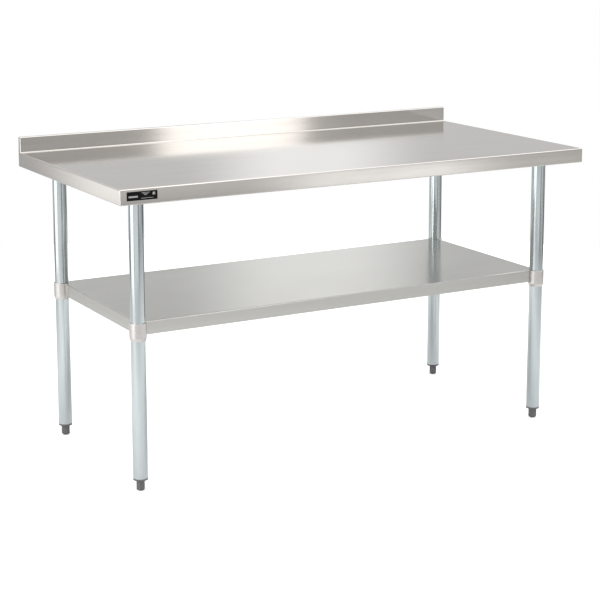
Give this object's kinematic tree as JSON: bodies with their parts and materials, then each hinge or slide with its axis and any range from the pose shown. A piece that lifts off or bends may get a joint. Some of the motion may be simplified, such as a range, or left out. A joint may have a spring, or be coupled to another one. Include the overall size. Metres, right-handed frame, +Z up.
{
  "type": "stainless work table",
  "caption": "Stainless work table with a low rear upstand, round legs, a sliding undershelf and screw-in levelling feet.",
  "frame": {"origin": "on the floor, under the middle of the table", "axes": "+X along the table to the right, +Y to the back where the upstand is, +Z up"},
  "size_m": [1.524, 0.7624, 0.9106],
  "materials": {
    "stainless": "brushed along its length",
    "stainless_shelf": "satin",
    "galvanised": "galvanised",
    "zinc_tube": "bright zinc plate",
    "socket_steel": "grey paint",
    "cast_clamp": "satin cast",
    "fastener": "zinc plated",
    "foot_plastic": "moulded",
    "insert_plastic": "moulded",
    "glide_plastic": "moulded",
    "label_plate": "printed film"
  },
  "bodies": {
    "frame": {"worktop": "stainless", "left_end_channel": "galvanised", "right_end_channel": "galvanised", "centre_channel": "galvanised", "channel_weld_studs": "fastener", "channel_nuts": "fastener", "socket_set_screws": "fastener", "foot_insert_nuts": "fastener", "front_label": "label_plate", "front_left_leg_socket": "socket_steel", "front_left_leg": "zinc_tube", "front_left_foot_insert": "insert_plastic", "front_right_leg_socket": "socket_steel", "front_right_leg": "zinc_tube", "front_right_foot_insert": "insert_plastic", "rear_right_leg_socket": "socket_steel", "rear_right_leg": "zinc_tube", "rear_right_foot_insert": "insert_plastic", "rear_left_leg_socket": "socket_steel", "rear_left_leg": "zinc_tube", "rear_left_foot_insert": "insert_plastic"},
    "shelf": {"undershelf": "stainless_shelf", "undershelf_channel": "galvanised", "clamp_set_screws": "fastener", "front_left_shelf_clamp": "cast_clamp", "front_right_shelf_clamp": "cast_clamp", "rear_right_shelf_clamp": "cast_clamp", "rear_left_shelf_clamp": "cast_clamp"},
    "front_left_foot_slider": {"front_left_glide": "glide_plastic"},
    "front_left_foot_screw": {"front_left_foot": "foot_plastic", "front_left_foot_stud": "fastener"},
    "front_right_foot_slider": {"front_right_glide": "glide_plastic"},
    "front_right_foot_screw": {"front_right_foot": "foot_plastic", "front_right_foot_stud": "fastener"},
    "rear_right_foot_slider": {"rear_right_glide": "glide_plastic"},
    "rear_right_foot_screw": {"rear_right_foot": "foot_plastic", "rear_right_foot_stud": "fastener"},
    "rear_left_foot_slider": {"rear_left_glide": "glide_plastic"},
    "rear_left_foot_screw": {"rear_left_foot": "foot_plastic", "rear_left_foot_stud": "fastener"}
  },
  "joints": [
    {"name": "shelf_slide", "type": "slide", "parent": "frame", "child": "shelf", "axis": [0, 0, 1], "range_m": [-0.36, 0.3]},
    {"name": "front_left_foot_lowering", "type": "slide", "parent": "frame", "child": "front_left_foot_slider", "axis": [0, 0, -1], "range_m": [0, 0.025]},
    {"name": "front_left_foot_turning", "type": "hinge", "parent": "front_left_foot_slider", "child": "front_left_foot_screw", "pos_m": [-0.674, -0.281, 0], "axis": [0, 0, -1], "range_deg": [0, 6010]},
    {"name": "front_right_foot_lowering", "type": "slide", "parent": "frame", "child": "front_right_foot_slider", "axis": [0, 0, -1], "range_m": [0, 0.025]},
    {"name": "front_right_foot_turning", "type": "hinge", "parent": "front_right_foot_slider", "child": "front_right_foot_screw", "pos_m": [0.674, -0.281, 0], "axis": [0, 0, -1], "range_deg": [0, 6010]},
    {"name": "rear_right_foot_lowering", "type": "slide", "parent": "frame", "child": "rear_right_foot_slider", "axis": [0, 0, -1], "range_m": [0, 0.025]},
    {"name": "rear_right_foot_turning", "type": "hinge", "parent": "rear_right_foot_slider", "child": "rear_right_foot_screw", "pos_m": [0.674, 0.281, 0], "axis": [0, 0, -1], "range_deg": [0, 6010]},
    {"name": "rear_left_foot_lowering", "type": "slide", "parent": "frame", "child": "rear_left_foot_slider", "axis": [0, 0, -1], "range_m": [0, 0.025]},
    {"name": "rear_left_foot_turning", "type": "hinge", "parent": "rear_left_foot_slider", "child": "rear_left_foot_screw", "pos_m": [-0.674, 0.281, 0], "axis": [0, 0, -1], "range_deg": [0, 6010]}
  ],
  "couplings": [
    {"joint": "front_left_foot_turning", "follows": "front_left_foot_lowering", "rad_per_m": 4188.8},
    {"joint": "front_right_foot_turning", "follows": "front_right_foot_lowering", "rad_per_m": 4188.8},
    {"joint": "rear_right_foot_turning", "follows": "rear_right_foot_lowering", "rad_per_m": 4188.8},
    {"joint": "rear_left_foot_turning", "follows": "rear_left_foot_lowering", "rad_per_m": 4188.8}
  ]
}
